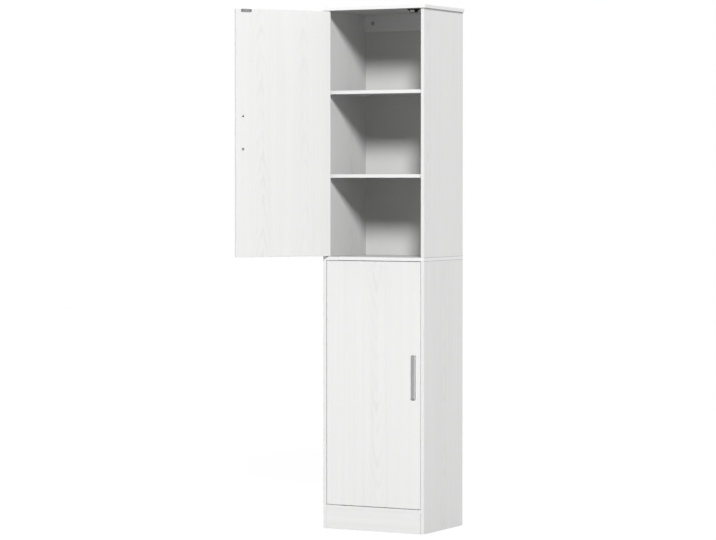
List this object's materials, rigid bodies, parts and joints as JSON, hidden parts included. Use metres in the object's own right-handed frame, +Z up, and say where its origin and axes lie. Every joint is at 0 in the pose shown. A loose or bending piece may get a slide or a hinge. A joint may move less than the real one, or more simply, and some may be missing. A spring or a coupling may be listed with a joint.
{
  "type": "tall bathroom cabinet",
  "caption": "Tall narrow cabinet of two stacked boxes in white laminate, each with shelves and a flush left-hung door with a bar handle and a magnetic catch.",
  "frame": {"origin": "on the floor under the centre of the carcass, the sides' outer faces at x = -0.195 and 0.195, the front plane at y = -0.15 and the rear edges at y = 0.15", "axes": "+X to the cabinet's right as seen from its front, +Y from front to back, +Z up; at rest the upper door stands open at 123.3 degrees and the lower one is shut"},
  "size_m": [0.575, 0.6007, 1.8],
  "materials": {
    "white_board": "white laminate with a faint printed wood grain, satin",
    "white_hardboard": "white lacquered hardboard, satin",
    "brushed_aluminium": "brushed along its length, satin anodised",
    "zinc_steel": "bright zinc plate",
    "zinc_casting": "plain die casting, dull",
    "black_plastic": "moulded, fine matt texture",
    "white_plastic": "moulded, satin",
    "ferrite": "plain ferrite, dull dark grey",
    "beech": "bare beech, fluted"
  },
  "bodies": {
    "carcass": {"top_panel": "white_board", "middle_panel": "white_board", "bottom_panel": "white_board", "kick_board": "white_board", "hanging_rail": "white_board", "upper_left_side": "white_board", "upper_right_side": "white_board", "lower_left_side": "white_board", "lower_right_side": "white_board", "lower_shelf_low": "white_board", "lower_shelf_high": "white_board", "upper_shelf_low": "white_board", "upper_shelf_high": "white_board", "upper_back_panel": "white_hardboard", "lower_back_panel": "white_hardboard", "lower_shelf_supports": "white_plastic", "upper_shelf_supports": "white_plastic", "dowels": "beech", "hanging_rail_cams": "zinc_casting", "base_cams": "zinc_casting", "cam_bolts": "zinc_steel", "long_screws": "zinc_steel", "top_screw_caps": "white_plastic", "back_panel_nails": "zinc_steel", "hinge_frame_screws": "zinc_steel", "lower_hinge_top_frame_leaf": "zinc_steel", "lower_hinge_bottom_frame_leaf": "zinc_steel", "lower_hinge_washers": "white_plastic", "lower_catch_housing": "black_plastic", "lower_catch_poles": "zinc_steel", "lower_catch_magnet": "ferrite", "lower_catch_screws": "zinc_steel", "upper_hinge_top_frame_leaf": "zinc_steel", "upper_hinge_bottom_frame_leaf": "zinc_steel", "upper_hinge_washers": "white_plastic", "upper_catch_housing": "black_plastic", "upper_catch_poles": "zinc_steel", "upper_catch_magnet": "ferrite", "upper_catch_screws": "zinc_steel"},
    "lower_door_set": {"lower_door": "white_board", "lower_handle": "brushed_aluminium", "lower_handle_screws": "zinc_steel", "lower_strike_plate": "zinc_steel", "lower_strike_screws": "zinc_steel", "lower_hinge_top_door_leaf": "zinc_steel", "lower_hinge_bottom_door_leaf": "zinc_steel", "lower_hinge_door_screws": "zinc_steel"},
    "upper_door_set": {"upper_door": "white_board", "upper_handle": "brushed_aluminium", "upper_handle_screws": "zinc_steel", "upper_strike_plate": "zinc_steel", "upper_strike_screws": "zinc_steel", "upper_hinge_top_door_leaf": "zinc_steel", "upper_hinge_bottom_door_leaf": "zinc_steel", "upper_hinge_door_screws": "zinc_steel"}
  },
  "joints": [
    {"name": "upper_door_hinge", "type": "hinge", "parent": "carcass", "child": "upper_door_set", "pos_m": [-0.1763, -0.147, 1.3645], "axis": [0, 0, -1], "range_deg": [-123.3, 4.7]},
    {"name": "lower_door_hinge", "type": "hinge", "parent": "carcass", "child": "lower_door_set", "pos_m": [-0.1763, -0.147, 0.5055], "axis": [0, 0, -1], "range_deg": [0, 128]}
  ]
}
